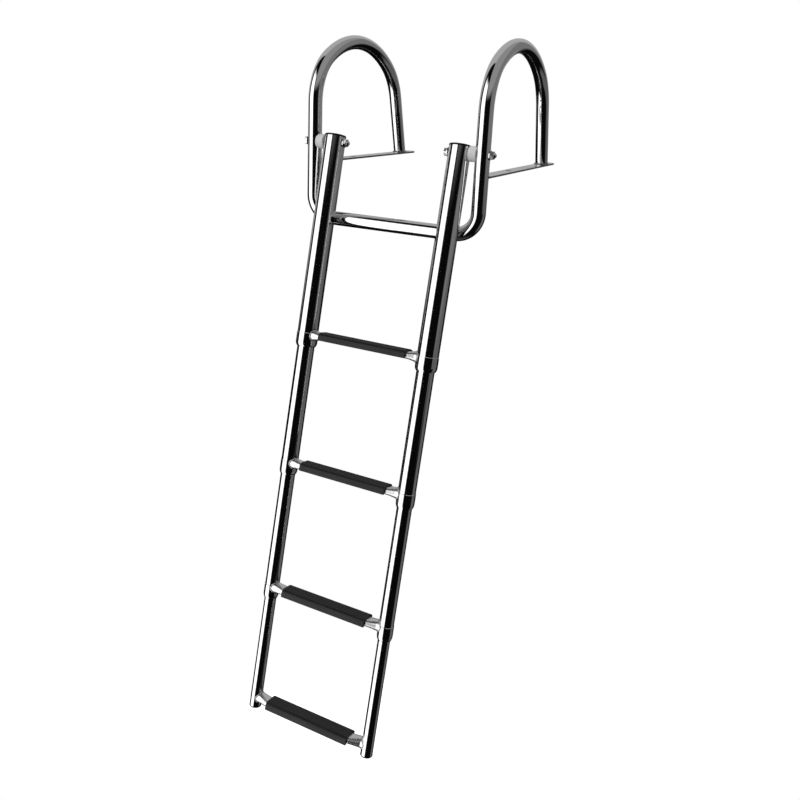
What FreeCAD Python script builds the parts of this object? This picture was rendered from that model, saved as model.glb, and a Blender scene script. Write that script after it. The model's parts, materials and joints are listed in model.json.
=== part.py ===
"""Telescopic boarding ladder hung from a bent tube frame with two hand hoops.

The ladder is drawn upright, with the swing pivot at the origin, and then leaned back against the
frame's cross tube. X runs across the ladder, +Y runs inboard over the deck, +Z is up. At the end all
is moved so that the origin lies under the right-hand deck plate, midway between its screw holes.
"""
import FreeCAD, Part
import math
import os

from FreeCAD import Vector

# Rails: four nested pairs, from the fixed top pair to the bottom pair, in millimetres
RAIL_DIAMETERS = (38.1, 31.8, 27.0, 22.2)
RAIL_WALL = 1.5
RAIL_ABOVE_PIVOT = 10.0
FIRST_SECTION_REACH = 371.5
SECTION_REACH = 240.0
LAST_SECTION_REACH = 217.0

# Collars, stop bushes and end caps
COLLAR_HEIGHT = 26.0
COLLAR_PROUD = 0.6
COLLAR_LIP = 8.0
COLLAR_NOSE = 1.0
COLLAR_ROUNDING = 7.5
BUSH_LENGTH = 30.0
BUSH_TO_RAIL_END = 0.7
RUNNING_GAP = 0.3
CAP_RIM = 3.4
CAP_EDGE = 0.8
CAP_PLUG = 4.0
FOOT_RIM = 2.4
FOOT_PLUG = 6.0
FOOT_PROUD = 0.2

# Steps: a tube pressed flat in the middle, with a ribbed plastic tread over it
STEP_TUBE_DIAMETER = 20.0
STEP_TUBE_WALL = 1.2
STEP_FLAT_DEPTH = 24.0
STEP_FLAT_HEIGHT = 13.0
STEP_FORWARD = 4.0
STEP_ABOVE_RAIL_END = 22.0
STEP_ABOVE_FOOT = 19.5
STEP_END_MARGIN = 1.0
ROUND_NOSE_ANGLE = 60
TREAD_END_GAP = 14.85
TREAD_DEPTH = 34.0
TREAD_TOP = 2.2
TREAD_RIB_HEIGHT = 0.7
TREAD_RIBS = 6
TREAD_EDGE = 7.0
TREAD_LIP = 7.6
TREAD_TO_PRESS = 2.0
TREAD_SIDE_GAP = 0.3

# Frame: one bent tube with a hoop at each side and a cross tube below
HOOP_SPACING = 326.0
HOOP_DEPTH = 347.0
HOOP_TOP = 179.0
CROWN_RADIUS = 0.59 * HOOP_DEPTH
CROWN_MIDDLE = 0.44 * HOOP_DEPTH
FRONT_CORNER_RADIUS = 0.275 * HOOP_DEPTH
REAR_CORNER_RADIUS = 0.325 * HOOP_DEPTH
REAR_LEG_SLANT = 15.5
FRAME_TUBE = 25.4
FRAME_WALL = 1.5
CROSS_DROP = 136.0
FRAME_BEND = 40.0

# Deck plates
PIVOT_ABOVE_DECK = 38.0
PLATE_THICKNESS = 3.2
PLATE_WIDTH = 25.4
PLATE_TAIL = 60.0
PLATE_WELD = 3.0
FRONT_HOLE_FROM_LEG = 140.0
TAIL_HOLE_FROM_END = 27.0
SCREW_HOLE = 6.6
SCREW_SINK = 12.0
SCREW_SINK_DEPTH = 2.0

# Pivot hardware
BOLT_DIAMETER = 8.0
BOLT_CLEARANCE = 0.05
HEAD_ACROSS_FLATS = 13.0
HEAD_HEIGHT = 5.3
HEAD_ROUNDING_RADIUS = 7.1
NUT_HEIGHT = 5.0
NUT_DOME_RADIUS = 4.9
WASHER_DIAMETER = 16.0
WASHER_THICKNESS = 1.4
SPACER_DIAMETER = 26.0
SPACER_LENGTH = 9.95
SPACER_WRAP = 0.33
SPACER_EDGE = 0.8

# How far a cutting tool runs past what it cuts
CUT_OVERRUN = 1.0

FRAME_RADIUS = FRAME_TUBE / 2
TOP_RAIL_RADIUS = RAIL_DIAMETERS[0] / 2
RAIL_SPACING = HOOP_SPACING - 2 * (FRAME_RADIUS + SPACER_LENGTH + RUNNING_GAP + TOP_RAIL_RADIUS)
TREAD_WIDTH = RAIL_SPACING - 2 * (TOP_RAIL_RADIUS + COLLAR_PROUD + TREAD_END_GAP)
LEAN = math.degrees(math.asin((TOP_RAIL_RADIUS + FRAME_RADIUS + RUNNING_GAP) / CROSS_DROP))
PLATE_LENGTH = HOOP_DEPTH + PLATE_TAIL
TAIL_HOLE = PLATE_LENGTH - TAIL_HOLE_FROM_END
ORIGIN = Vector(HOOP_SPACING / 2, (FRONT_HOLE_FROM_LEG + TAIL_HOLE) / 2, -PIVOT_ABOVE_DECK)
SIDES = {"left": -1, "right": 1}
RAIL_ENDS = [FIRST_SECTION_REACH,
             FIRST_SECTION_REACH + SECTION_REACH,
             FIRST_SECTION_REACH + 2 * SECTION_REACH,
             FIRST_SECTION_REACH + 2 * SECTION_REACH + LAST_SECTION_REACH]
STEP_HEIGHTS = [-(end - STEP_ABOVE_RAIL_END) for end in RAIL_ENDS[:3]] + [-(RAIL_ENDS[3] - STEP_ABOVE_FOOT)]


def rod(radius, low, high, x=0.0, y=0.0):
    """A solid cylinder along Z between two heights."""
    return Part.makeCylinder(radius, high - low, Vector(x, y, low))


def pipe(outer, inner, low, high, x=0.0, y=0.0):
    """A tube along Z between two heights."""
    return rod(outer, low, high, x, y).cut(rod(inner, low - CUT_OVERRUN, high + CUT_OVERRUN, x, y))


def cross_rod(radius, start, end, y=0.0, z=0.0):
    """A solid cylinder along X between two places."""
    low, high = sorted((start, end))
    return Part.makeCylinder(radius, high - low, Vector(low, y, z), Vector(1, 0, 0))


def turned(points, x=0.0):
    """A solid turned about a vertical line from (radius, height) points."""
    loop = [Vector(r, 0, z) for r, z in points]
    face = Part.Face(Part.makePolygon(loop + loop[:1]))
    solid = face.revolve(Vector(0, 0, 0), Vector(0, 0, 1), 360)
    solid.translate(Vector(x, 0, 0))
    return solid


def hexagon(across_flats, start, length):
    """A hexagonal bar along X."""
    radius = across_flats / math.sqrt(3)
    corners = [Vector(start, radius * math.cos(math.radians(60 * k)), radius * math.sin(math.radians(60 * k)))
               for k in range(6)]
    face = Part.Face(Part.makePolygon(corners + corners[:1]))
    return face.extrude(Vector(length, 0, 0))


def place_frame(shape):
    shape.translate(-ORIGIN)
    return shape


def place_ladder(shape):
    """Lean an upright ladder piece back about the pivot, then move it to the part's frame."""
    shape.rotate(Vector(0, 0, 0), Vector(1, 0, 0), -LEAN)
    return place_frame(shape)


def save(shape, name):
    solids = shape.Solids
    shape = solids[0] if len(solids) == 1 else Part.makeCompound(solids)
    shape.exportStep("parts/%s.step" % name)


def ring_face(centre, direction, outer, inner):
    """The cross section of a tube at a place on its path."""
    outside = Part.Wire(Part.makeCircle(outer, centre, direction))
    inside = Part.Wire(Part.makeCircle(inner, centre, direction))
    return Part.Face([outside, inside])


def bolt_hole(side):
    """The pivot hole through one side, along X."""
    reach = HOOP_SPACING / 2 + FRAME_RADIUS + CUT_OVERRUN
    return cross_rod(BOLT_DIAMETER / 2 + BOLT_CLEARANCE, 0, side * reach)


def away(angle):
    """The direction at an angle above +Y, in the plane of a hoop."""
    return Vector(0, math.cos(math.radians(angle)), math.sin(math.radians(angle)))


def rear_foot(side):
    """Where the middle of the rear leg meets the top of the deck plate."""
    return Vector(side * HOOP_SPACING / 2, HOOP_DEPTH, PLATE_THICKNESS - PIVOT_ABOVE_DECK)


def rear_leg_rod(side, radius, length):
    """A cylinder along the slanted rear leg, from a tube's width below its foot."""
    upward = away(90 + REAR_LEG_SLANT)
    return Part.makeCylinder(radius, length + FRAME_TUBE, rear_foot(side) - upward * FRAME_TUBE, upward)


def crown_bends(side):
    """The centres and radii of the hoop's three bends, with the angles where each begins and ends."""
    middle = Vector(side * HOOP_SPACING / 2, CROWN_MIDDLE, HOOP_TOP - CROWN_RADIUS)
    front_reach = CROWN_RADIUS - FRONT_CORNER_RADIUS
    front_angle = 180 - math.degrees(math.acos((CROWN_MIDDLE - FRONT_CORNER_RADIUS) / front_reach))
    rear_reach = CROWN_RADIUS - REAR_CORNER_RADIUS
    to_leg = away(REAR_LEG_SLANT).dot(rear_foot(side) - middle)
    rear_angle = REAR_LEG_SLANT + math.degrees(math.acos((to_leg - REAR_CORNER_RADIUS) / rear_reach))
    front = middle + away(front_angle) * front_reach
    rear = middle + away(rear_angle) * rear_reach
    return [(front, FRONT_CORNER_RADIUS, 180, front_angle), (middle, CROWN_RADIUS, front_angle, rear_angle),
            (rear, REAR_CORNER_RADIUS, rear_angle, REAR_LEG_SLANT)]


def hoop(side):
    """One hand hoop: front leg, a crown of three bends and a slanted rear leg, open at both lower ends."""
    inner = FRAME_RADIUS - FRAME_WALL
    bends = crown_bends(side)
    front_centre = bends[0][0]
    pieces = []
    for centre, radius, start, end in bends:
        ring = ring_face(centre + away(start) * radius, away(start - 90), FRAME_RADIUS, inner)
        pieces.append(ring.revolve(centre, Vector(-1, 0, 0), start - end))
    rear_centre, rear_radius, _, end = bends[-1]
    length = (rear_centre + away(end) * rear_radius - rear_foot(side)).Length
    rear = rear_leg_rod(side, FRAME_RADIUS, length).cut(rear_leg_rod(side, inner, length + CUT_OVERRUN))
    foot = rear_foot(side)
    corner = foot - Vector(FRAME_TUBE, FRAME_TUBE, 2 * FRAME_TUBE)
    rear = rear.cut(Part.makeBox(2 * FRAME_TUBE, 2 * FRAME_TUBE, 2 * FRAME_TUBE, corner))
    front = pipe(FRAME_RADIUS, inner, FRAME_BEND - CROSS_DROP, front_centre.z, foot.x)
    return front.fuse(pieces + [rear]).removeSplitter().cut(bolt_hole(side))


def cross_tube():
    """The lower cross tube with a quarter bend up to each front leg."""
    inner = FRAME_RADIUS - FRAME_WALL
    half = HOOP_SPACING / 2 - FRAME_BEND
    straight = ring_face(Vector(-half, 0, -CROSS_DROP), Vector(1, 0, 0), FRAME_RADIUS, inner)
    pieces = [straight.extrude(Vector(2 * half, 0, 0))]
    for side in (-1, 1):
        start = ring_face(Vector(side * half, 0, -CROSS_DROP), Vector(1, 0, 0), FRAME_RADIUS, inner)
        centre = Vector(side * half, 0, FRAME_BEND - CROSS_DROP)
        pieces.append(start.revolve(centre, Vector(0, -side, 0), 90))
    return pieces[0].fuse(pieces[1:]).removeSplitter()


def deck_plate(side):
    """A flat bar welded behind the front leg and under the rear leg, with a rounded tail."""
    x = side * HOOP_SPACING / 2
    low = -PIVOT_ABOVE_DECK
    high = low + PLATE_THICKNESS
    half = PLATE_WIDTH / 2
    plate = Part.makeBox(PLATE_WIDTH, PLATE_LENGTH - half, PLATE_THICKNESS, Vector(x - half, 0, low))
    plate = plate.fuse(rod(half, low, high, x, PLATE_LENGTH - half))
    foot_reach = FRAME_RADIUS / math.cos(math.radians(REAR_LEG_SLANT))
    rear_weld = Part.makeCone(foot_reach + PLATE_WELD, FRAME_RADIUS, PLATE_WELD, rear_foot(side))
    leg = rear_leg_rod(side, FRAME_RADIUS, 2 * FRAME_TUBE)
    plate = plate.fuse(rear_weld.cut(leg))
    plate = plate.cut(rod(FRAME_RADIUS, low - CUT_OVERRUN, high + CUT_OVERRUN, x))
    for y in (FRONT_HOLE_FROM_LEG, TAIL_HOLE):
        plate = plate.cut(rod(SCREW_HOLE / 2, low - CUT_OVERRUN, high + CUT_OVERRUN, x, y))
        sink_low = high - SCREW_SINK_DEPTH
        sink = Part.makeCone(SCREW_HOLE / 2, SCREW_SINK / 2, SCREW_SINK_DEPTH, Vector(x, y, sink_low))
        plate = plate.cut(sink)
    return plate.removeSplitter()


def pivot_ends(side):
    """Where the bolt's head bears and where its nut bears, along X; both bolts point the same way."""
    inside = side * (RAIL_SPACING / 2 - TOP_RAIL_RADIUS - RUNNING_GAP)
    outside = side * (HOOP_SPACING / 2 + FRAME_RADIUS)
    return min(inside, outside), max(inside, outside)


def pivot_bolt(side):
    head_face, nut_face = pivot_ends(side)
    washer_face = head_face - WASHER_THICKNESS
    shank = cross_rod(BOLT_DIAMETER / 2, washer_face, nut_face + WASHER_THICKNESS + NUT_HEIGHT)
    washer = cross_rod(WASHER_DIAMETER / 2, washer_face, head_face)
    head = hexagon(HEAD_ACROSS_FLATS, washer_face - HEAD_HEIGHT, HEAD_HEIGHT)
    head = head.common(cross_rod(HEAD_ROUNDING_RADIUS, washer_face - HEAD_HEIGHT, washer_face))
    return shank.fuse([washer, head]).removeSplitter()


def pivot_nut(side):
    """A washer and a domed nut, bored for the bolt."""
    face = pivot_ends(side)[1]
    washer = cross_rod(WASHER_DIAMETER / 2, face, face + WASHER_THICKNESS)
    base = hexagon(HEAD_ACROSS_FLATS, face + WASHER_THICKNESS, NUT_HEIGHT)
    dome_centre = face + WASHER_THICKNESS + NUT_HEIGHT
    dome = Part.makeSphere(NUT_DOME_RADIUS, Vector(dome_centre, 0, 0))
    corner = Vector(dome_centre - 2 * NUT_DOME_RADIUS, -NUT_DOME_RADIUS, -NUT_DOME_RADIUS)
    dome = dome.cut(Part.makeBox(2 * NUT_DOME_RADIUS, 2 * NUT_DOME_RADIUS, 2 * NUT_DOME_RADIUS, corner))
    bore = cross_rod(BOLT_DIAMETER / 2, face - CUT_OVERRUN, dome_centre)
    return washer.fuse([base, dome]).removeSplitter().cut(bore)


def pivot_spacer(side):
    """The plastic spacer between rail and front leg, with a saddle that fits the leg and eased edges."""
    start = side * (RAIL_SPACING / 2 + TOP_RAIL_RADIUS + RUNNING_GAP)
    leg_middle = side * HOOP_SPACING / 2
    end = leg_middle - side * FRAME_RADIUS * (1 - SPACER_WRAP)
    body = cross_rod(SPACER_DIAMETER / 2, start, end)
    rims = [edge for edge in body.Edges if isinstance(edge.Curve, Part.Circle)]
    body = body.makeFillet(SPACER_EDGE, rims)
    leg = rod(FRAME_RADIUS, -SPACER_DIAMETER, SPACER_DIAMETER, leg_middle)
    return body.cut(leg).cut(bolt_hole(side))


def rail_radius(section):
    return RAIL_DIAMETERS[section] / 2


def collar_radius(section):
    return rail_radius(section) + COLLAR_PROUD


def rail_top(section):
    """The upper end of a rail: above the pivot, or inside the rail that it slides in."""
    if section == 0:
        return RAIL_ABOVE_PIVOT
    return bush_low(section) + BUSH_LENGTH + BUSH_TO_RAIL_END


def rail_low(section):
    """The lower end of a rail: on its collar's lip, or on the foot cap."""
    if section == 3:
        return FOOT_RIM - RAIL_ENDS[3]
    return COLLAR_LIP - RAIL_ENDS[section]


def bush_low(section):
    """A stop bush rests a running gap above the lip of the collar that it comes down to."""
    return COLLAR_LIP + RUNNING_GAP - RAIL_ENDS[section - 1]


def rail(section, side):
    x = side * RAIL_SPACING / 2
    radius = rail_radius(section)
    tube = pipe(radius, radius - RAIL_WALL, rail_low(section), rail_top(section), x)
    if section == 0:
        tube = tube.cut(bolt_hole(side))
    return tube


def rail_cap(side):
    """A plug with a thin rim that closes the top of a fixed rail."""
    rim = rail_radius(0)
    plug = rim - RAIL_WALL
    low = RAIL_ABOVE_PIVOT
    outline = [(0, low - CAP_PLUG), (plug, low - CAP_PLUG), (plug, low), (rim, low),
               (rim, low + CAP_RIM - CAP_EDGE), (rim - CAP_EDGE, low + CAP_RIM), (0, low + CAP_RIM)]
    return turned(outline, side * RAIL_SPACING / 2)


def rounded_end(nose, outer, low):
    """An arc from the collar's nose, at its lower face, up to its outside."""
    drawn_in = outer - nose
    radius = (drawn_in ** 2 + COLLAR_ROUNDING ** 2) / (2 * drawn_in)
    half_angle = math.asin(COLLAR_ROUNDING / radius) / 2
    middle = Vector(outer - radius + radius * math.cos(half_angle), 0,
                    low + COLLAR_ROUNDING - radius * math.sin(half_angle))
    return Part.Arc(Vector(nose, 0, low), middle, Vector(outer, 0, low + COLLAR_ROUNDING)).toShape()


def collar(section, side):
    """The sleeve at a rail's lower end, with a rounded lip that guides the next rail and stops its bush."""
    outer = collar_radius(section)
    seat = rail_radius(section)
    guide = rail_radius(section + 1) + RUNNING_GAP
    low = -RAIL_ENDS[section]
    high = low + COLLAR_HEIGHT
    end = rounded_end(guide + COLLAR_NOSE, outer, low)
    rest = [(outer, low + COLLAR_ROUNDING), (outer, high - COLLAR_PROUD), (seat, high),
            (seat, low + COLLAR_LIP), (guide, low + COLLAR_LIP), (guide, low), (guide + COLLAR_NOSE, low)]
    sides = Part.makePolygon([Vector(r, 0, z) for r, z in rest]).Edges
    face = Part.Face(Part.Wire([end] + sides))
    sleeve = face.revolve(Vector(0, 0, 0), Vector(0, 0, 1), 360)
    sleeve.translate(Vector(side * RAIL_SPACING / 2, 0, 0))
    return sleeve


def stop_bushes(section):
    """The plastic bush round the top of each inner rail of a pair."""
    outer = rail_radius(section - 1) - RAIL_WALL - RUNNING_GAP
    low = bush_low(section)
    return Part.makeCompound([pipe(outer, rail_radius(section), low, low + BUSH_LENGTH, side * RAIL_SPACING / 2)
                              for side in (-1, 1)])


def foot_cap(side):
    """A black foot under the last rail, with a plug inside it."""
    rim = rail_radius(3) + FOOT_PROUD
    plug = rail_radius(3) - RAIL_WALL
    low = -RAIL_ENDS[3]
    seat = low + FOOT_RIM
    outline = [(0, low), (rim - CAP_EDGE, low), (rim, low + CAP_EDGE), (rim, seat),
               (plug, seat), (plug, seat + FOOT_PLUG), (0, seat + FOOT_PLUG)]
    return turned(outline, side * RAIL_SPACING / 2)


def step_outline(x, depth, height, forward):
    """A closed outline across the step, in four edges: a circle, or a circle pressed to two flats."""
    radius = height / 2
    flat = depth / 2 - radius
    nose = math.radians(90 if flat > 0 else ROUND_NOSE_ANGLE)

    def spot(middle, angle):
        return Vector(x, -forward + middle + radius * math.cos(angle), radius * math.sin(angle))

    def arc(middle, start, end):
        return Part.Arc(spot(middle, start), spot(middle, (start + end) / 2), spot(middle, end)).toShape()

    def bridge(start, end, height_angle):
        if flat > 0:
            return Part.makeLine(start, end)
        return Part.Arc(start, spot(0, height_angle), end).toShape()

    rear = arc(flat, -nose, nose)
    front = arc(-flat, math.pi - nose, math.pi + nose)
    top = bridge(spot(flat, nose), spot(-flat, math.pi - nose), math.pi / 2)
    bottom = bridge(spot(-flat, math.pi + nose), spot(flat, -nose), -math.pi / 2)
    return Part.Wire([rear, top, front, bottom])


def step_seat(section):
    """The outside radius of what a step tube's ends meet: the rail, or the collar round it."""
    return rail_radius(3) if section == 3 else collar_radius(section)


def step_end_forward(section):
    """How far forward the step tube's round ends sit, kept within the rail's or collar's width."""
    return min(STEP_FORWARD, step_seat(section) - STEP_TUBE_DIAMETER / 2 - STEP_END_MARGIN)


def step_body(section, half_length, inset):
    """The step tube's outside, or its inside when inset by the wall, as one loft."""
    forward = step_end_forward(section)
    press = TREAD_WIDTH / 2 + TREAD_TO_PRESS
    round_from = RAIL_SPACING / 2 - step_seat(section)
    ring = STEP_TUBE_DIAMETER - 2 * inset
    depth = STEP_FLAT_DEPTH - 2 * inset
    height = STEP_FLAT_HEIGHT - 2 * inset
    outlines = []
    for x in (-half_length, -round_from):
        outlines.append(step_outline(x, ring, ring, forward))
    for x in (-press, press):
        outlines.append(step_outline(x, depth, height, STEP_FORWARD))
    for x in (round_from, half_length):
        outlines.append(step_outline(x, ring, ring, forward))
    return Part.makeLoft(outlines, True, True)


def step_tube(section):
    """The step tube between a pair of rails, cut to fit them and their collars."""
    half = RAIL_SPACING / 2
    height = STEP_HEIGHTS[section]
    tube = step_body(section, half, 0).cut(step_body(section, half + CUT_OVERRUN, STEP_TUBE_WALL))
    tube.translate(Vector(0, 0, height))
    low = height - STEP_TUBE_DIAMETER
    for side in (-1, 1):
        tube = tube.cut(rod(rail_radius(section), low, height + STEP_TUBE_DIAMETER, side * half))
        if section < 3:
            tube = tube.cut(collar(section, side))
    return max(tube.Solids, key=lambda solid: solid.Volume)


def tread_spot(forward, height):
    """A place in the tread's section, at its left end, from the tube's middle."""
    return Vector(-TREAD_WIDTH / 2, -STEP_FORWARD - forward, height)


def tread_edge(side, top):
    """One rounded long edge of the tread's section, from its side up to its top."""
    half = TREAD_DEPTH / 2
    turn = TREAD_EDGE * math.sqrt(0.5)
    middle = (side * (half - TREAD_EDGE + turn), top - TREAD_EDGE + turn)
    return Part.Arc(tread_spot(side * half, top - TREAD_EDGE), tread_spot(*middle),
                    tread_spot(side * (half - TREAD_EDGE), top)).toShape()


def tread_ribs(top):
    """The ribbed top of the tread's section as (forward, height) points, from rear to front."""
    edge = TREAD_DEPTH / 2 - TREAD_EDGE
    pitch = 2 * edge / TREAD_RIBS
    points = [(-edge, top)]
    for k in range(TREAD_RIBS):
        start = -edge + k * pitch
        for share, height in ((0.2, top), (0.35, top + TREAD_RIB_HEIGHT), (0.65, top + TREAD_RIB_HEIGHT), (0.8, top)):
            points.append((start + pitch * share, height))
    return points + [(edge, top)]


def tread_face():
    """The tread's section, without its channel."""
    half = TREAD_DEPTH / 2
    top = STEP_FLAT_HEIGHT / 2 + TREAD_TOP
    low = top + TREAD_RIB_HEIGHT - TREAD_EDGE - TREAD_LIP
    ribs = Part.makePolygon([tread_spot(*point) for point in tread_ribs(top)]).Edges
    sides = [Part.makeLine(tread_spot(-half, low), tread_spot(-half, top - TREAD_EDGE)), tread_edge(-1, top)]
    sides += ribs + [tread_edge(1, top)]
    sides += [Part.makeLine(tread_spot(half, top - TREAD_EDGE), tread_spot(half, low))]
    sides += [Part.makeLine(tread_spot(half, low), tread_spot(-half, low))]
    return Part.Face(Part.Wire(sides))


def channel(length):
    """What the tread's inner channel takes away: flat on the pressed tube, with a gap round its edges."""
    radius = STEP_FLAT_HEIGHT / 2
    flat = STEP_FLAT_DEPTH / 2 - radius
    corner = radius * math.tan(math.radians(22.5)) + TREAD_SIDE_GAP
    wall = flat + radius + TREAD_SIDE_GAP
    points = [(-wall, -TREAD_DEPTH), (-wall, corner), (-flat - corner, radius),
              (flat + corner, radius), (wall, corner), (wall, -TREAD_DEPTH)]
    loop = [tread_spot(*point) for point in points + points[:1]]
    bar = Part.Face(Part.makePolygon(loop)).extrude(Vector(length + 2 * CUT_OVERRUN, 0, 0))
    bar.translate(Vector(-CUT_OVERRUN, 0, 0))
    return bar


def tread(section):
    """The ribbed tread with rounded long edges, a channel over the pressed part of its step tube."""
    shape = tread_face().extrude(Vector(TREAD_WIDTH, 0, 0)).cut(channel(TREAD_WIDTH))
    shape.translate(Vector(0, 0, STEP_HEIGHTS[section]))
    return shape


def save_frame():
    save(place_frame(cross_tube()), "cross_tube")
    for name, side in SIDES.items():
        save(place_frame(hoop(side)), "hoop_" + name)
        save(place_frame(deck_plate(side)), "deck_plate_" + name)
        save(place_frame(pivot_bolt(side)), "pivot_bolt_" + name)
        save(place_frame(pivot_nut(side)), "pivot_nut_" + name)
        save(place_frame(pivot_spacer(side)), "pivot_spacer_" + name)


def save_section(section):
    number = section + 1
    for name, side in SIDES.items():
        save(place_ladder(rail(section, side)), "rail_%d_%s" % (number, name))
        if section < 3:
            save(place_ladder(collar(section, side)), "collar_%d_%s" % (number, name))
        else:
            save(place_ladder(foot_cap(side)), "foot_cap_" + name)
        if section == 0:
            save(place_ladder(rail_cap(side)), "rail_cap_" + name)
    if section > 0:
        save(place_ladder(stop_bushes(section)), "stop_bushes_%d" % number)
    save(place_ladder(step_tube(section)), "step_tube_%d" % number)
    save(place_ladder(tread(section)), "tread_%d" % number)


def main():
    os.makedirs("parts", exist_ok=True)
    save_frame()
    for section in range(len(RAIL_DIAMETERS)):
        save_section(section)
    print("lean %.3f degrees, origin %s" % (LEAN, ORIGIN))


main()
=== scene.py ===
"""Finishes, welds and studio for a telescopic boarding ladder of polished tube.

Lengths are in metres, in the part's own frame: X across the ladder, +Y inboard over the deck, +Z up.
"""
import json
import math

import bmesh
import bpy
from bpy.props import FloatProperty, FloatVectorProperty, IntProperty, PointerProperty
from mathutils import Matrix, Vector


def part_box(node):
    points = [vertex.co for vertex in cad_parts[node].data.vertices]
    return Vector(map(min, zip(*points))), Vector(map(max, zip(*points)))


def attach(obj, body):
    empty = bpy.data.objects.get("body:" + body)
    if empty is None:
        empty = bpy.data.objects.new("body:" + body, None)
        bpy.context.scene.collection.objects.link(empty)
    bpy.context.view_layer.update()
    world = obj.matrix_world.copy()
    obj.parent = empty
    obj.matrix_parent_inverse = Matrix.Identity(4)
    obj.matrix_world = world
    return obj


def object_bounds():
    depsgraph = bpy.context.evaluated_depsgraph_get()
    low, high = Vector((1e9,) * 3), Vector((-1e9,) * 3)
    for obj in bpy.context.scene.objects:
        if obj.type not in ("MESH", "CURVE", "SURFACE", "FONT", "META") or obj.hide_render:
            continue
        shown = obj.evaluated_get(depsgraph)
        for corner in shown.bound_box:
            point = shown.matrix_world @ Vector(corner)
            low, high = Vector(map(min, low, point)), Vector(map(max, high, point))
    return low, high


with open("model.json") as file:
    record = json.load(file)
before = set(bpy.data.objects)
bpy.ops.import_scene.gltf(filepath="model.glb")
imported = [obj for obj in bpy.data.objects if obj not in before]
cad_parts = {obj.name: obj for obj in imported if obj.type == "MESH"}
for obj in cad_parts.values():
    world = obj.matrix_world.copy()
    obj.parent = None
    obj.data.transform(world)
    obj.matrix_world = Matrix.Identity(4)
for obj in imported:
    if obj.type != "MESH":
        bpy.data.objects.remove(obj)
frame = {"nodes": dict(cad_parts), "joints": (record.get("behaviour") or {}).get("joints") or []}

bl_info = {
    "name": "Telescopic boarding ladder",
    "version": (1, 0, 0),
    "blender": (4, 5, 0),
    "location": "View3D > Sidebar > Ladder",
    "description": "Dresses the tube ladder with its finishes and welds and sets up its studio",
    "category": "Object",
}

CAD_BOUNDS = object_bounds()
NODES = frame["nodes"]
SIDES = ("left", "right")
SECTIONS = (1, 2, 3, 4)

WHITE = (1.0, 1.0, 1.0, 1.0)

# Width of the camera's sensor in millimetres, and the nearest thing that it sees in metres
SENSOR_WIDTH = 36.0
CLIP_START = 0.02

# Low and high values of the noise textures between which a finish changes
NOISE_RANGE = (0.3, 0.7)
SMEAR_RANGE = (0.35, 0.75)
DUST_RANGE = (0.45, 0.8)
STRAW_RANGE = (0.4, 0.7)

# Depth of the marks that grain and polishing leave
MARK_DEPTH = 0.0002

# How much glossier and how much duller plastic is than its roughness says, from place to place
PLASTIC_GLOSSIER = 0.05
PLASTIC_DULLER = 0.06

# Upright share of the normal at which a face counts as sideways, and as flat, for the deck plates'
# painted shade
FLAT_RANGE = (0.82, 0.97)

# Shares of a tread's height between which its painted highlight begins and is full, above the painted
# shade of its lower lip
PAINTED_LIGHT_RANGE = (0.45, 0.8)

# Rings of a weld bead from one ripple to the next
RINGS_PER_RIPPLE = 4

# A step tube's end, cut to a rail or its collar, lies at most this far from the rail
END_REACH = 0.001

# The outer edge of a step tube's end lies at most this far inside its farthest point
RIM_DEPTH = 0.0006

# The points of one edge of a deck plate differ by at most this much
EDGE_DEPTH = 0.0002


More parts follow.
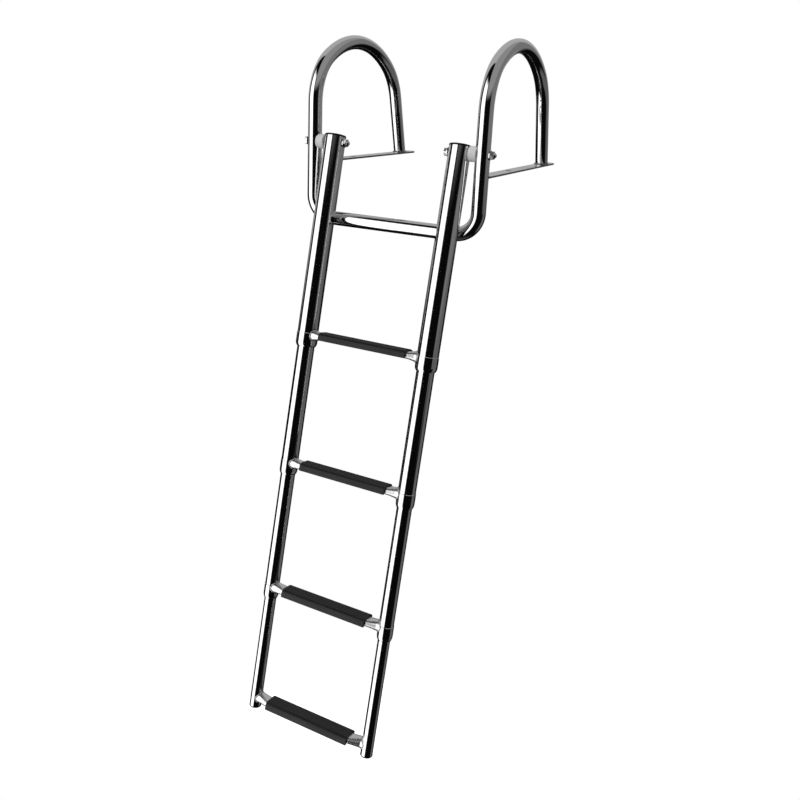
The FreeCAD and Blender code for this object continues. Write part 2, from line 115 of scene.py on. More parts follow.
class LadderStudio(bpy.types.PropertyGroup):
    """Where the camera, the floor and the lamps are, and how bright the studio is."""

    camera_place: FloatVectorProperty(
        name="Camera place", description="Where the camera stands",
        subtype="TRANSLATION", unit="LENGTH", default=(0.4507, -1.4719, 0.1295), precision=4)
    camera_heading: FloatProperty(
        name="Heading", description="How far the view turns left from the +Y axis",
        subtype="ANGLE", default=math.radians(24.92))
    camera_dip: FloatProperty(
        name="Dip", description="How far the view looks down",
        subtype="ANGLE", default=math.radians(17.064))
    camera_roll: FloatProperty(
        name="Roll", description="How far the camera leans to one side",
        subtype="ANGLE", default=math.radians(-2.949))
    focal_length: FloatProperty(
        name="Focal length", description="The lens, in millimetres on a 36 mm sensor",
        default=34.405)
    frame_shift: FloatVectorProperty(
        name="Shift", description="Lens shift as a share of the frame's width",
        size=2, default=(-0.015, -0.09), precision=4)
    floor_drop: FloatProperty(
        name="Floor drop", description="Height of the floor below the ladder's feet",
        unit="LENGTH", default=1.3)
    floor_radius: FloatProperty(
        name="Floor radius", description="Half the width of the round floor",
        unit="LENGTH", default=1.3)
    floor_colour: FloatVectorProperty(
        name="Floor colour", description="Pale paint of the floor",
        subtype="COLOR", default=(0.82, 0.82, 0.82))
    floor_lift: FloatProperty(
        name="Floor lift", description="Light that the floor adds for the camera, to look white",
        default=0.75)
    ambient: FloatProperty(
        name="Ambient", description="Strength of the even light from all round",
        default=0.55)
    key_place: FloatVectorProperty(
        name="Key place", description="Place of the lamp at the left, from the ladder's middle",
        subtype="TRANSLATION", unit="LENGTH", default=(-1.7, -1.75, 0.9))
    key_size: FloatVectorProperty(
        name="Key size", description="Width and height of the lamp at the left",
        size=2, unit="LENGTH", default=(1.2, 1.8))
    key_power: FloatProperty(
        name="Key light", description="Power of the soft lamp at the left, in watts",
        default=26.0)
    top_place: FloatVectorProperty(
        name="Top place", description="Place of the lamp overhead, from the ladder's middle",
        subtype="TRANSLATION", unit="LENGTH", default=(-0.1, -0.2, 2.4))
    top_size: FloatVectorProperty(
        name="Top size", description="Width and depth of the lamp overhead",
        size=2, unit="LENGTH", default=(1.4, 1.4))
    top_power: FloatProperty(
        name="Top light", description="Power of the soft lamp overhead, in watts",
        default=14.0)
    softbox_glow: FloatProperty(
        name="Softbox glow", description="How bright the left softbox looks in polished metal",
        default=1.7)
    card_glow: FloatProperty(
        name="Card glow", description="How bright the low card at the right looks in polished metal",
        default=0.13)
    side_glow: FloatProperty(
        name="Side glow", description="How bright the right wall looks in polished metal",
        default=0.20)
    back_glow: FloatProperty(
        name="Back glow", description="How bright the far left wall looks in polished metal",
        default=0.46)
    ceiling_glow: FloatProperty(
        name="Ceiling glow", description="How bright the ceiling looks in polished metal",
        default=0.30)
    floor_glow: FloatProperty(
        name="Floor glow", description="Share of the floor's brightness that polished metal mirrors",
        default=0.10)
    room_glow: FloatProperty(
        name="Room glow", description="How bright the unlit room looks in polished metal",
        default=0.003)


class LadderWelds(bpy.types.PropertyGroup):
    """Size and colours of the weld beads."""

    bead_radius: FloatProperty(
        name="Bead", description="Radius of a weld bead",
        unit="LENGTH", default=0.0013, precision=4)
    ripple: FloatProperty(
        name="Ripple", description="Height of a bead's ripples as a share of its radius",
        default=0.12)
    ripple_pitch: FloatProperty(
        name="Ripple pitch", description="Distance from one ripple to the next",
        unit="LENGTH", default=0.0016, precision=4)
    sides: IntProperty(
        name="Sides", description="Sides of a bead's cross section",
        default=8, min=3)
    bright_colour: FloatVectorProperty(
        name="Bright", description="Colour of the bright weld metal",
        subtype="COLOR", default=(0.72, 0.72, 0.73))
    straw_colour: FloatVectorProperty(
        name="Straw", description="Colour of the heat tint on the weld metal",
        subtype="COLOR", default=(0.60, 0.57, 0.52))
    bright_roughness: FloatProperty(
        name="Bright roughness", description="Roughness of a bead where it is brightest",
        default=0.22)
    dull_roughness: FloatProperty(
        name="Dull roughness", description="Roughness of a bead where it is dullest",
        default=0.42)


class LadderFinish(bpy.types.PropertyGroup):
    """Colours and surface of the ladder's materials."""

    steel_colour: FloatVectorProperty(
        name="Steel", description="Colour of the stainless steel",
        subtype="COLOR", default=(0.80, 0.80, 0.81))
    smear_shade: FloatProperty(
        name="Smear shade", description="Share of its brightness that steel keeps under a smear",
        default=0.93)
    polish_roughness: FloatProperty(
        name="Polish", description="Roughness of the mirror polished tubes",
        default=0.07)
    step_roughness: FloatProperty(
        name="Step tubes", description="Roughness of the pressed step tubes",
        default=0.26)
    bolt_roughness: FloatProperty(
        name="Bolts", description="Roughness of the pivot bolts and nuts",
        default=0.12)
    satin_roughness: FloatProperty(
        name="Satin", description="Roughness of the deck plates",
        default=0.24)
    # Painted shade: the share of their brightness that the plates' sideways edge faces keep
    painted_edge_shade: FloatProperty(
        name="Edge shade", description="Share of their brightness that the plates' edges keep",
        default=0.25)
    tread_colour: FloatVectorProperty(
        name="Tread", description="Colour of the treads' black plastic",
        subtype="COLOR", default=(0.006, 0.006, 0.0065))
    tread_roughness: FloatProperty(
        name="Tread roughness", description="Roughness of the treads",
        default=0.42)
    # Painted shade: the share of its brightness that a tread keeps on its lower lips
    painted_lip_shade: FloatProperty(
        name="Lip shade", description="Share of its brightness that a tread keeps on its lower lips",
        default=0.2)
    # Painted highlight: how much brighter the treads' upper part is painted than their own colour
    painted_top_highlight: FloatProperty(
        name="Scuff shade", description="Brightness of a tread's scuffed edges against the rest",
        default=1.3)
    cap_colour: FloatVectorProperty(
        name="Caps", description="Colour of the end caps",
        subtype="COLOR", default=(0.003, 0.003, 0.003))
    cap_roughness: FloatProperty(
        name="Cap roughness", description="Roughness of the end caps",
        default=0.45)
    nylon_colour: FloatVectorProperty(
        name="Nylon", description="Colour of the spacers and bushes",
        subtype="COLOR", default=(0.58, 0.58, 0.58))
    nylon_roughness: FloatProperty(
        name="Nylon roughness", description="Roughness of the spacers and bushes",
        default=0.45)


def studio():
    return bpy.context.scene.ladder_studio


def finish():
    return bpy.context.scene.ladder_finish


def welds():
    return bpy.context.scene.ladder_welds


def rgba(colour):
    return (*colour, 1.0)


def empty_tree(owner):
    """The node tree of a material or a world, with no node in it."""
    owner.use_nodes = True
    owner.node_tree.nodes.clear()
    return owner.node_tree


def set_inputs(tree, node, inputs):
    """Give a node's inputs their values, or link them to the sockets that feed them."""
    for key, value in inputs.items():
        if isinstance(value, bpy.types.NodeSocket):
            tree.links.new(value, node.inputs[key])
        else:
            node.inputs[key].default_value = value


def add_node(tree, kind, inputs=None, **settings):
    """A shader node with its settings and the values or links of its inputs."""
    node = tree.nodes.new(kind)
    for key, value in settings.items():
        setattr(node, key, value)
    set_inputs(tree, node, inputs or {})
    return node


def maths(tree, operation, first, second=0.0):
    return add_node(tree, "ShaderNodeMath", {0: first, 1: second}, operation=operation).outputs[0]


def ramp(tree, value, low, high, to_low=0.0, to_high=1.0):
    """A smooth step from one value to another."""
    inputs = {"Value": value, "From Min": low, "From Max": high, "To Min": to_low, "To Max": to_high}
    node = add_node(tree, "ShaderNodeMapRange", inputs, interpolation_type="SMOOTHSTEP")
    return node.outputs["Result"]


def noise(tree, place, scale, detail, distortion=0.0):
    inputs = {"Vector": place, "Scale": scale, "Detail": detail, "Distortion": distortion}
    return add_node(tree, "ShaderNodeTexNoise", inputs).outputs["Fac"]


def split(tree, vector):
    """The X, Y and Z of a vector, by their names."""
    return add_node(tree, "ShaderNodeSeparateXYZ", {0: vector}).outputs


def mix_colours(tree, share, first, second):
    """One colour where the share is 0, and another where it is 1."""
    inputs = {"Factor": share, "A": first, "B": second}
    return add_node(tree, "ShaderNodeMix", inputs, data_type="RGBA").outputs["Result"]


def scale_colour(tree, colour, level):
    inputs = {0: colour, "Scale": level}
    return add_node(tree, "ShaderNodeVectorMath", inputs, operation="SCALE").outputs[0]


def light_paths(tree):
    """Two masks: rays straight from the camera, and rays that metal or glass sends on."""
    path = add_node(tree, "ShaderNodeLightPath").outputs
    mirrored = maths(tree, "MAXIMUM", path["Is Glossy Ray"], path["Is Transmission Ray"])
    return path["Is Camera Ray"], mirrored


def new_group(name, inputs, outputs):
    """An empty shader node group with named float or vector sockets."""
    group = bpy.data.node_groups.new(name, "ShaderNodeTree")
    for label, kind, default in inputs:
        socket = group.interface.new_socket(label, in_out="INPUT", socket_type=kind)
        if default is not None:
            socket.default_value = default
    for label, kind in outputs:
        group.interface.new_socket(label, in_out="OUTPUT", socket_type=kind)
    return group, group.nodes.new("NodeGroupInput").outputs, group.nodes.new("NodeGroupOutput")


def build_panel_group():
    """Studio panel: 1 in the directions that a panel covers and 0 elsewhere, with soft edges."""
    group, entry, out = new_group(
        "studio_panel",
        [("Direction", "NodeSocketVector", None), ("Heading", "NodeSocketFloat", 0.0),
         ("Half Width", "NodeSocketFloat", 0.5), ("Edge", "NodeSocketFloat", 0.1),
         ("Low", "NodeSocketFloat", -0.5), ("Low Rim", "NodeSocketFloat", 0.2),
         ("High", "NodeSocketFloat", 0.5), ("High Rim", "NodeSocketFloat", 0.2)],
        [("Mask", "NodeSocketFloat")])
    parts = split(group, entry["Direction"])
    azimuth = maths(group, "ARCTAN2", parts["Y"], parts["X"])
    height = maths(group, "ARCSINE", parts["Z"])
    turn = maths(group, "SUBTRACT", azimuth, entry["Heading"])
    wrapped = add_node(group, "ShaderNodeMath", {0: turn, 1: math.pi, 2: -math.pi}, operation="WRAP")
    aside = maths(group, "ABSOLUTE", wrapped.outputs[0])
    width, low, high = entry["Half Width"], entry["Low"], entry["High"]
    within = ramp(group, aside, maths(group, "SUBTRACT", width, entry["Edge"]), width, 1.0, 0.0)
    above = ramp(group, height, low, maths(group, "ADD", low, entry["Low Rim"]))
    below = ramp(group, height, maths(group, "SUBTRACT", high, entry["High Rim"]), high, 1.0, 0.0)
    mask = maths(group, "MULTIPLY", within, maths(group, "MULTIPLY", above, below))
    set_inputs(group, out, {"Mask": mask})


def build_grain_group():
    """Fine grain: a small random height and a mask of slow cloudy variation."""
    group, entry, out = new_group(
        "fine_grain",
        [("Vector", "NodeSocketVector", None), ("Grain Scale", "NodeSocketFloat", 900.0),
         ("Cloud Scale", "NodeSocketFloat", 14.0)],
        [("Height", "NodeSocketFloat"), ("Cloud", "NodeSocketFloat")])
    grain = noise(group, entry["Vector"], entry["Grain Scale"], detail=3.0)
    cloud = noise(group, entry["Vector"], entry["Cloud Scale"], detail=4.0)
    set_inputs(group, out, {"Height": grain, "Cloud": cloud})


def build_polish_group():
    """Polishing marks: hair lines that run along one direction, and faint smears."""
    group, entry, out = new_group(
        "polish_marks",
        [("Vector", "NodeSocketVector", None), ("Line Scale", "NodeSocketFloat", 700.0),
         ("Stretch", "NodeSocketFloat", 0.02), ("Smear Scale", "NodeSocketFloat", 9.0)],
        [("Lines", "NodeSocketFloat"), ("Smear", "NodeSocketFloat")])
    parts = split(group, entry["Vector"])
    along = maths(group, "MULTIPLY", parts["Z"], entry["Stretch"])
    stretched = add_node(group, "ShaderNodeCombineXYZ", {"X": parts["X"], "Y": parts["Y"], "Z": along})
    lines = noise(group, stretched.outputs[0], entry["Line Scale"], detail=2.0)
    smear = noise(group, entry["Vector"], entry["Smear Scale"], detail=5.0, distortion=0.6)
    set_inputs(group, out, {"Lines": lines, "Smear": smear})


GROUPS = {
    "studio_panel": build_panel_group,
    "fine_grain": build_grain_group,
    "polish_marks": build_polish_group,
}


def use_group(tree, name, inputs):
    """The outputs of a shared node group, which is built the first time that it is used."""
    if name not in bpy.data.node_groups:
        GROUPS[name]()
    return add_node(tree, "ShaderNodeGroup", inputs, node_tree=bpy.data.node_groups[name]).outputs


def new_material(name):
    """A material with its Principled shader and its own object coordinates."""
    material = bpy.data.materials.new(name)
    tree = empty_tree(material)
    shader = tree.nodes.new("ShaderNodeBsdfPrincipled")
    add_node(tree, "ShaderNodeOutputMaterial", {"Surface": shader.outputs["BSDF"]})
    place = add_node(tree, "ShaderNodeTexCoord").outputs["Object"]
    return material, tree, shader, place


def add_bump(tree, shader, height, strength):
    inputs = {"Height": height, "Strength": strength, "Distance": MARK_DEPTH}
    bump = add_node(tree, "ShaderNodeBump", inputs)
    set_inputs(tree, shader, {"Normal": bump.outputs["Normal"]})


def shade_material(material, level):
    """Scale a material's colour by a level that changes over the surface."""
    tree = material.node_tree
    shader = next(node for node in tree.nodes if node.type == "BSDF_PRINCIPLED")
    plain = shader.inputs["Base Color"].links[0].from_socket
    set_inputs(tree, shader, {"Base Color": scale_colour(tree, plain, level)})


def steel_material(name, rotation, roughness, spread, line_scale, stretch, bump=0.0):
    """Stainless steel with marks that run along the Z axis after a rotation."""
    material, tree, shader, place = new_material(name)
    turned = add_node(tree, "ShaderNodeMapping", {"Vector": place, "Rotation": rotation})
    marks = use_group(tree, "polish_marks", {
        "Vector": turned.outputs["Vector"], "Line Scale": line_scale, "Stretch": stretch})
    lines, smear = marks["Lines"], marks["Smear"]
    rough = ramp(tree, smear, *SMEAR_RANGE, roughness, roughness + spread)
    uneven = ramp(tree, lines, *NOISE_RANGE, -spread / 2, spread / 2)
    bright = finish().steel_colour
    dull = [channel * finish().smear_shade for channel in bright]
    set_inputs(tree, shader, {
        "Metallic": 1.0,
        "Roughness": maths(tree, "ADD", rough, uneven),
        "Base Color": mix_colours(tree, smear, rgba(bright), rgba(dull)),
    })
    if bump > 0:
        add_bump(tree, shader, lines, bump)
    return material


def tube_material(name, rotation, roughness, stretch):
    """Polished tube: evenly glossy, with faint hair lines and no bumps."""
    return steel_material(name, rotation, roughness, spread=0.02, line_scale=520.0, stretch=stretch)


def plate_material():
    """Satin steel with a grain along the plates, and painted shade on the faces of its edges that turn
    sideways.
    """
    material = steel_material(
        "satin_plates", (math.radians(90), 0, 0), finish().satin_roughness,
        spread=0.08, line_scale=1400.0, stretch=0.01, bump=0.05)
    tree = material.node_tree
    normal = add_node(tree, "ShaderNodeNewGeometry").outputs["Normal"]
    flatness = maths(tree, "ABSOLUTE", split(tree, normal)["Z"])
    # Painted shade: faces that turn sideways are darker than the flat top
    shade_material(material, ramp(tree, flatness, *FLAT_RANGE, finish().painted_edge_shade, 1.0))
    return material


def bolt_material():
    """Bright turned steel of the pivot bolts and nuts."""
    return steel_material(
        "bright_fasteners", (0, 0, 0), finish().bolt_roughness,
        spread=0.04, line_scale=900.0, stretch=1.0)


def weld_material():
    """Weld metal: steel with a duller, slightly straw-tinted skin."""
    material, tree, shader, place = new_material("weld_metal")
    inputs = {"Vector": place, "Grain Scale": 1500.0, "Cloud Scale": 160.0}
    grain = use_group(tree, "fine_grain", inputs)
    cloud = grain["Cloud"]
    straw = ramp(tree, cloud, *STRAW_RANGE)
    set_inputs(tree, shader, {
        "Metallic": 1.0,
        "Roughness": ramp(tree, cloud, *NOISE_RANGE, welds().bright_roughness, welds().dull_roughness),
        "Base Color": mix_colours(tree, straw, rgba(welds().bright_colour), rgba(welds().straw_colour)),
    })
    add_bump(tree, shader, grain["Height"], strength=0.2)
    return material


def plastic_material(name, colour, roughness, grain_scale, bump, dust, shine=0.5):
    """Moulded plastic with a fine grain, cloudy gloss and a little dust on top."""
    material, tree, shader, place = new_material(name)
    grain = use_group(tree, "fine_grain", {"Vector": place, "Grain Scale": grain_scale})
    cloud = grain["Cloud"]
    glossy, dull = roughness - PLASTIC_GLOSSIER, roughness + PLASTIC_DULLER
    dusty = [channel + dust for channel in colour]
    set_inputs(tree, shader, {
        "Specular IOR Level": shine,
        "Roughness": ramp(tree, cloud, *NOISE_RANGE, glossy, dull),
        "Base Color": mix_colours(tree, ramp(tree, cloud, *DUST_RANGE), rgba(colour), rgba(dusty)),
    })
    add_bump(tree, shader, grain["Height"], bump)
    return material


def nylon_material():
    """Pale nylon of the spacers and bushes."""
    return plastic_material(
        "pale_nylon", finish().nylon_colour, finish().nylon_roughness,
        grain_scale=1400.0, bump=0.12, dust=0.03)


def cap_material():
    """Smooth black plastic of the caps on the rails' tops and feet."""
    return plastic_material(
        "cap_plastic", finish().cap_colour, finish().cap_roughness,
        grain_scale=1600.0, bump=0.10, dust=0.004, shine=0.25)


def tread_material():
    """Black plastic with painted light: painted shade on the treads' lower lips, rising to a painted
    highlight on their upper part.
    """
    material = plastic_material(
        "tread_plastic", finish().tread_colour, finish().tread_roughness,
        grain_scale=1100.0, bump=0.3, dust=0.003, shine=0.35)
    tree = material.node_tree
    low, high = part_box("tread_1")
    upward = up_the_ladder()
    depth_rise = (high[1] - low[1]) * upward.y
    height_rise = (high[2] - low[2]) * upward.z
    parts = split(tree, add_node(tree, "ShaderNodeTexCoord").outputs["Generated"])
    rise = maths(tree, "ADD", maths(tree, "MULTIPLY", parts["Y"], depth_rise),
                 maths(tree, "MULTIPLY", parts["Z"], height_rise))
    # Painted light by height up the tread: painted shade at the lower lip, a painted highlight on the
    # upper part
    start, full = [(depth_rise + height_rise) * share for share in PAINTED_LIGHT_RANGE]
    painted_highlight = ramp(tree, rise, start, full)
    shade_material(material, ramp(tree, painted_highlight, 0.0, 1.0, finish().painted_lip_shade, finish().painted_top_highlight))
    return material


def floor_paint():
    """Matt pale paint: white to the camera, and in polished metal dim, fading towards the rim."""
    material = bpy.data.materials.new("floor_paint")
    tree = empty_tree(material)
    seen, mirrored = light_paths(tree)
    place = add_node(tree, "ShaderNodeTexCoord").outputs["Object"]
    distance = add_node(tree, "ShaderNodeVectorMath", {0: place}, operation="LENGTH").outputs["Value"]
    fading = ramp(tree, distance, 0.0, studio().floor_radius, studio().floor_glow, 0.0)
    dim = scale_colour(tree, tuple(studio().floor_colour), fading)
    colour = mix_colours(tree, mirrored, rgba(studio().floor_colour), dim)
    paint = add_node(tree, "ShaderNodeBsdfDiffuse", {"Color": colour}).outputs[0]
    lift = maths(tree, "MULTIPLY", seen, studio().floor_lift)
    glow = add_node(tree, "ShaderNodeEmission", {"Color": WHITE, "Strength": lift}).outputs[0]
    both = add_node(tree, "ShaderNodeAddShader", {0: paint, 1: glow}).outputs[0]
    add_node(tree, "ShaderNodeOutputMaterial", {"Surface": both})
    return material


def both_sides(name):
    """The names of a pair of nodes, one on each side."""
    return [name + "_" + side for side in SIDES]


def dress(material, names):
    """Put one material on every slot of some nodes."""
    for name in names:
        for slot in NODES[name].material_slots:
            slot.material = material


def joint_named(name):
    return next(joint for joint in frame["joints"] if joint["name"] == name)


def lean_angle():
    """How far the rails lean back, from the axis along which the sections slide."""
    axis = joint_named("section_2_slide")["axis"]
    return math.atan2(axis[1], axis[2])


def up_the_ladder():
    return Vector((0, math.sin(lean_angle()), math.cos(lean_angle())))


def pivot_place():
    return Vector(joint_named("ladder_swing")["pos_m"])


def node_points(name):
    """A node's vertices in part coordinates."""
    place = NODES[name].matrix_world
    return [place @ vertex.co for vertex in NODES[name].data.vertices]


def middle_across(name):
    """The middle of a node and half its width, along the X axis."""
    low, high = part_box(name)
    return (low[0] + high[0]) / 2, (high[0] - low[0]) / 2


def sort_round(points, axis):
    """Points in order round their middle, seen along an axis."""
    middle = sum(points, Vector()) / len(points)
    first = axis.orthogonal().normalized()
    second = axis.cross(first)

    def angle(point):
        apart = point - middle
        return math.atan2(apart.dot(second), apart.dot(first))

    return sorted(points, key=angle)


def evenly_spaced(points, closed, step):
    """Points at even steps, three or more, along a run of straight pieces."""
    run = points + points[:1] if closed else points
    lengths = [(after - before).length for before, after in zip(run, run[1:])]
    count = max(3, round(sum(lengths) / step))
    marks = [sum(lengths) * k / count for k in range(count if closed else count + 1)]
    spaced = []
    for mark in marks:
        piece = 0
        while piece < len(lengths) - 1 and mark > lengths[piece]:
            mark -= lengths[piece]
            piece += 1
        share = min(1.0, mark / lengths[piece]) if lengths[piece] > 0 else 0.0
        spaced.append(run[piece].lerp(run[piece + 1], share))
    return spaced


def bead_rings(shape, path, closed):
    """Rings of vertices round a path, which swell and shrink along it in ripples."""
    sides = welds().sides
    last = len(path) - 1
    rings = []
    for index, point in enumerate(path):
        before = path[index - 1] if closed or index > 0 else point
        after = path[(index + 1) % len(path)] if closed or index < last else point
        along = (after - before).normalized()
        if rings:
            across = (across - along * across.dot(along)).normalized()
        else:
            across = along.orthogonal().normalized()
        upward = along.cross(across)
        wave = math.cos(2 * math.pi * index / RINGS_PER_RIPPLE)
        radius = welds().bead_radius * (1 + welds().ripple * wave)
        ring = []
        for corner in range(sides):
            angle = 2 * math.pi * corner / sides
            outward = across * math.cos(angle) + upward * math.sin(angle)
            ring.append(shape.verts.new(point + outward * radius))
        rings.append(ring)
    return rings


def join_rings(shape, rings, closed):
    """Faces from each ring to the next, and over both ends of an open bead."""
    sides = len(rings[0])
    for index, ring in enumerate(rings if closed else rings[:-1]):
        following = rings[(index + 1) % len(rings)]
        for corner in range(sides):
            beside = (corner + 1) % sides
            shape.faces.new((ring[corner], ring[beside], following[beside], following[corner]))
    if not closed:
        shape.faces.new(list(reversed(rings[0])))
        shape.faces.new(rings[-1])
    bmesh.ops.recalc_face_normals(shape, faces=shape.faces)


def weld_bead(name, points, closed, body, material):
    """A rippled bead of weld metal along a run of points, which moves with a body."""
    path = evenly_spaced(points, closed, welds().ripple_pitch / RINGS_PER_RIPPLE)
    shape = bmesh.new()
    join_rings(shape, bead_rings(shape, path, closed), closed)
    mesh = bpy.data.meshes.new(name)
    shape.to_mesh(mesh)
    shape.free()
    for face in mesh.polygons:
        face.use_smooth = True
    mesh.materials.append(material)
    bead = bpy.data.objects.new(name, mesh)
    bpy.context.scene.collection.objects.link(bead)
    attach(bead, body)


class LADDER_OT_stage(bpy.types.Operator):
    """Camera, floor, lamps and the studio that the polished tubes mirror"""

    bl_idname = "ladder.stage"
    bl_label = "Studio"

    def execute(self, context):
        context.scene.view_settings.view_transform = "Standard"
        self.add_camera(context)
        self.add_floor(context)
        self.add_lamps(context)
        self.add_world(context)
        return {"FINISHED"}

    def view_axes(self):
        """Right, up and back of the camera, from its heading, dip and roll."""
        heading, dip, roll = studio().camera_heading, studio().camera_dip, studio().camera_roll
        flat = math.cos(dip)
        ahead = Vector((-math.sin(heading) * flat, math.cos(heading) * flat, -math.sin(dip)))
        level = ahead.cross(Vector((0, 0, 1))).normalized()
        rise = level.cross(ahead)
        right = level * math.cos(roll) - rise * math.sin(roll)
        up = rise * math.cos(roll) + level * math.sin(roll)
        return right, up, -ahead

    def add_camera(self, context):
        camera = bpy.data.objects.new("camera", bpy.data.cameras.new("camera"))
        context.scene.collection.objects.link(camera)
        turn = Matrix(self.view_axes()).transposed().to_4x4()
        camera.matrix_world = Matrix.Translation(studio().camera_place) @ turn
        camera.data.sensor_width = SENSOR_WIDTH
        camera.data.lens = studio().focal_length
        camera.data.shift_x, camera.data.shift_y = studio().frame_shift
        camera.data.clip_start = CLIP_START
        context.scene.camera = camera

    def add_floor(self, context):
        low, high = CAD_BOUNDS
        shape = bmesh.new()
        bmesh.ops.create_circle(shape, cap_ends=True, segments=96, radius=studio().floor_radius)
        mesh = bpy.data.meshes.new("floor")
        shape.to_mesh(mesh)
        shape.free()
        mesh.materials.append(floor_paint())
        floor = bpy.data.objects.new("floor", mesh)
        floor.location = ((low[0] + high[0]) / 2, (low[1] + high[1]) / 2, low[2] - studio().floor_drop)
        context.scene.collection.objects.link(floor)

    def add_lamps(self, context):
        light = studio()
        self.add_lamp(context, "key_lamp", light.key_place, light.key_size, light.key_power)
        self.add_lamp(context, "top_lamp", light.top_place, light.top_size, light.top_power)

    def add_lamp(self, context, name, offset, size, power):
        """A soft lamp that faces the ladder's middle, and that neither camera nor metal sees."""
        low, high = CAD_BOUNDS
        middle = (Vector(low) + Vector(high)) / 2
        place = middle + offset
        lamp = bpy.data.lights.new(name, "AREA")
        lamp.shape = "RECTANGLE"
        lamp.size, lamp.size_y = size
        lamp.energy = power
        holder = bpy.data.objects.new(name, lamp)
        holder.location = place
        holder.rotation_euler = (middle - place).to_track_quat("-Z", "Y").to_euler()
        holder.visible_camera = False
        holder.visible_glossy = False
        context.scene.collection.objects.link(holder)

    def add_world(self, context):
        """Even light for the object, white behind it, and the studio's panels in the metal."""
        world = bpy.data.worlds.new("studio")
        context.scene.world = world
        tree = empty_tree(world)
        world.cycles.sampling_method = "NONE"
        seen, mirrored = light_paths(tree)
        plain = maths(tree, "MAXIMUM", seen, studio().ambient)
        inputs = {"Factor": mirrored, "A": plain, "B": self.studio_light(tree)}
        strength = add_node(tree, "ShaderNodeMix", inputs, data_type="FLOAT").outputs["Result"]
        sky = add_node(tree, "ShaderNodeBackground", {"Color": WHITE, "Strength": strength}).outputs[0]
        add_node(tree, "ShaderNodeOutputWorld", {"Surface": sky})

    def studio_light(self, tree):
        """Brightness of the studio in each direction, from panels whose angles are in degrees."""
        direction = add_node(tree, "ShaderNodeTexCoord").outputs["Generated"]

        def panel(glow, heading, half_width, edge, low, low_rim, high=95, high_rim=5):
            """One panel, which reaches over the top where its high edge isn't given."""
            angles = {"Heading": heading, "Half Width": half_width, "Edge": edge,
                      "Low": low, "Low Rim": low_rim, "High": high, "High Rim": high_rim}
            inputs = {label: math.radians(value) for label, value in angles.items()}
            inputs["Direction"] = direction
            return maths(tree, "MULTIPLY", use_group(tree, "studio_panel", inputs)["Mask"], glow)

        softbox = panel(studio().softbox_glow, heading=-126, half_width=33, edge=10,
                        low=-62, low_rim=16, high=52, high_rim=14)
        card = panel(studio().card_glow, heading=26, half_width=28, edge=12,
                     low=-62, low_rim=16, high=4, high_rim=12)
        side = panel(studio().side_glow, heading=56, half_width=76, edge=14, low=-14, low_rim=12)
        back = panel(studio().back_glow, heading=128, half_width=57, edge=12, low=-12, low_rim=14)
        ceiling = panel(studio().ceiling_glow, heading=18, half_width=107, edge=10, low=16, low_rim=16)
        brightest = studio().room_glow
        for light in (softbox, card, side, back, ceiling):
            brightest = maths(tree, "MAXIMUM", light, brightest)
        return brightest


class LADDER_OT_tubes(bpy.types.Operator):
    """Polished stainless tubes: rails, collars, steps, hoops and cross tube"""

    bl_idname = "ladder.tubes"
    bl_label = "Polished tubes"

    def execute(self, context):
        polish = finish().polish_roughness
        upright = tube_material("polished_frame", (0, 0, 0), polish, stretch=0.05)
        leaning = tube_material("polished_rails", (lean_angle(), 0, 0), polish, stretch=0.02)
        across = tube_material("polished_steps", (0, math.radians(90), 0), finish().step_roughness,
                               stretch=0.05)
        dress(upright, ["cross_tube"] + both_sides("hoop"))
        for section in SECTIONS:
            dress(leaning, both_sides("rail_%d" % section))
            dress(across, ["step_tube_%d" % section])
        for section in SECTIONS[:-1]:
            dress(leaning, both_sides("collar_%d" % section))
        return {"FINISHED"}


class LADDER_OT_welds(bpy.types.Operator):
    """Weld beads where the step tubes meet the rails and where the front legs meet the deck plates"""

    bl_idname = "ladder.welds"
    bl_label = "Weld beads"

    def execute(self, context):
        metal = weld_material()
        for section in SECTIONS:
            for side in SIDES:
                name = "step_weld_%d_%s" % (section, side)
                body = "section_%d" % section
                weld_bead(name, self.step_rim(section, side), True, body, metal)
        for side in SIDES:
            weld_bead("plate_weld_" + side, self.plate_rim(side), False, "frame", metal)
        return {"FINISHED"}

    def step_rim(self, section, side):
        """The outer edge of a step tube's end, where it meets the rail or its collar."""
        upward = up_the_ladder()
        forward = Vector((0, upward.z, -upward.y))
        start = pivot_place()
        axis_x, rail_radius = middle_across("rail_%d_%s" % (section, side))

        def from_axis(point):
            return math.hypot(point.x - axis_x, (point - start).dot(forward))

        points = node_points("step_tube_%d" % section)
        ends = [point for point in points if from_axis(point) < rail_radius + END_REACH]
        middle = sum(ends, Vector()) / len(ends)

        def from_middle(point):
            apart = point - middle
            return math.hypot(apart.dot(upward), apart.dot(forward))

        outside = max(from_middle(point) for point in ends)
        rim = [point for point in ends if from_middle(point) > outside - RIM_DEPTH]
        return sort_round(rim, Vector((1, 0, 0)))

    def plate_rim(self, side):
        """The top edge of a deck plate's hollow end, round the back of the front leg."""
        start = pivot_place()
        axis_x, _ = middle_across("deck_plate_" + side)
        _, leg_radius = middle_across("hoop_" + side)

        def from_axis(point):
            return math.hypot(point.x - axis_x, point.y - start.y)

        points = node_points("deck_plate_" + side)
        hollow = [point for point in points if from_axis(point) < leg_radius + EDGE_DEPTH]
        top = max(point.z for point in hollow)
        rim = [point for point in hollow if point.z > top - EDGE_DEPTH]
        return sorted(rim, key=lambda point: point.x)


class LADDER_OT_deck_plates(bpy.types.Operator):
    """Satin stainless deck plates with a grain along their length"""

    bl_idname = "ladder.deck_plates"
    bl_label = "Deck plates"

    def execute(self, context):
        dress(plate_material(), both_sides("deck_plate"))
        return {"FINISHED"}


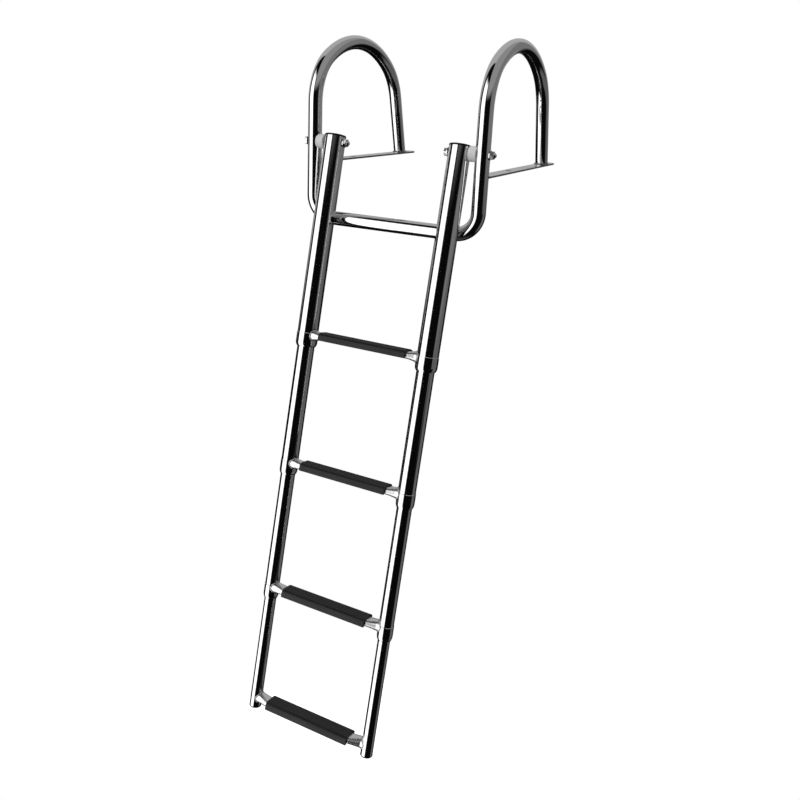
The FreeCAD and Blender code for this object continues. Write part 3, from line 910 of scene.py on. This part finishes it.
class LADDER_OT_pivots(bpy.types.Operator):
    """Bright bolts and domed nuts with pale nylon spacers and bushes"""

    bl_idname = "ladder.pivots"
    bl_label = "Pivot hardware"

    def execute(self, context):
        dress(bolt_material(), both_sides("pivot_bolt") + both_sides("pivot_nut"))
        bushes = ["stop_bushes_%d" % section for section in SECTIONS[1:]]
        dress(nylon_material(), both_sides("pivot_spacer") + bushes)
        return {"FINISHED"}


class LADDER_OT_treads(bpy.types.Operator):
    """Ribbed black plastic treads"""

    bl_idname = "ladder.treads"
    bl_label = "Treads"

    def execute(self, context):
        dress(tread_material(), ["tread_%d" % section for section in SECTIONS])
        return {"FINISHED"}


class LADDER_OT_caps(bpy.types.Operator):
    """Smooth black caps on the rails' tops and feet"""

    bl_idname = "ladder.caps"
    bl_label = "End caps"

    def execute(self, context):
        dress(cap_material(), both_sides("rail_cap") + both_sides("foot_cap"))
        return {"FINISHED"}


class LADDER_PT_panel(bpy.types.Panel):
    """Lists the ladder's operators and settings"""

    bl_label = "Boarding ladder"
    bl_idname = "LADDER_PT_panel"
    bl_space_type = "VIEW_3D"
    bl_region_type = "UI"
    bl_category = "Ladder"

    def draw(self, context):
        for operator in OPERATORS:
            self.layout.operator(operator.bl_idname)
        for settings in (studio(), welds(), finish()):
            box = self.layout.box()
            for name in settings.__annotations__:
                box.prop(settings, name)


OPERATORS = (
    LADDER_OT_stage,
    LADDER_OT_tubes,
    LADDER_OT_welds,
    LADDER_OT_deck_plates,
    LADDER_OT_pivots,
    LADDER_OT_treads,
    LADDER_OT_caps,
)
CLASSES = (LadderStudio, LadderWelds, LadderFinish) + OPERATORS + (LADDER_PT_panel,)


def register():
    for kind in CLASSES:
        bpy.utils.register_class(kind)
    bpy.types.Scene.ladder_studio = PointerProperty(type=LadderStudio)
    bpy.types.Scene.ladder_welds = PointerProperty(type=LadderWelds)
    bpy.types.Scene.ladder_finish = PointerProperty(type=LadderFinish)


def unregister():
    del bpy.types.Scene.ladder_finish
    del bpy.types.Scene.ladder_welds
    del bpy.types.Scene.ladder_studio
    for kind in reversed(CLASSES):
        bpy.utils.unregister_class(kind)


def main():
    register()
    bpy.ops.ladder.stage()
    bpy.ops.ladder.tubes()
    bpy.ops.ladder.welds()
    bpy.ops.ladder.deck_plates()
    bpy.ops.ladder.pivots()
    bpy.ops.ladder.treads()
    bpy.ops.ladder.caps()


if __name__ == "__main__":
    main()
